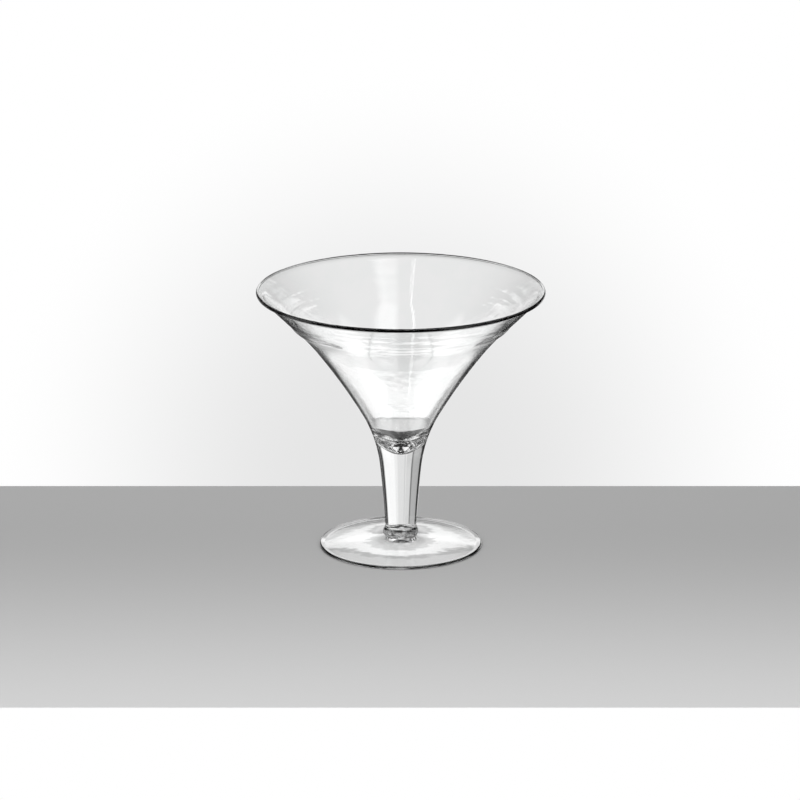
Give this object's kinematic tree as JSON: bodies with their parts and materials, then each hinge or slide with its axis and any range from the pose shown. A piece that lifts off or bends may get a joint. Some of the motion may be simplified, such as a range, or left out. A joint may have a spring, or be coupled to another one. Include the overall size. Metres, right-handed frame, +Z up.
{
  "type": "martini glass",
  "caption": "Empty clear martini glass: wide flared conical bowl with a fire-polished rim on a short solid stem, with a joint bead and a thin round foot.",
  "frame": {"origin": "centre of the flat ring under the foot, on the surface that the glass stands on", "axes": "+Z up along the glass's axis, from the foot to the open rim; X and Y are alike, because the glass is round"},
  "size_m": [0.12, 0.12, 0.1109],
  "materials": {
    "clear_glass": "clear soda-lime glass, fire-polished, with faint hand-made ripples"
  },
  "bodies": {
    "root": {"bowl": "clear_glass", "stem": "clear_glass", "joint_button": "clear_glass", "foot": "clear_glass"}
  },
  "joints": []
}
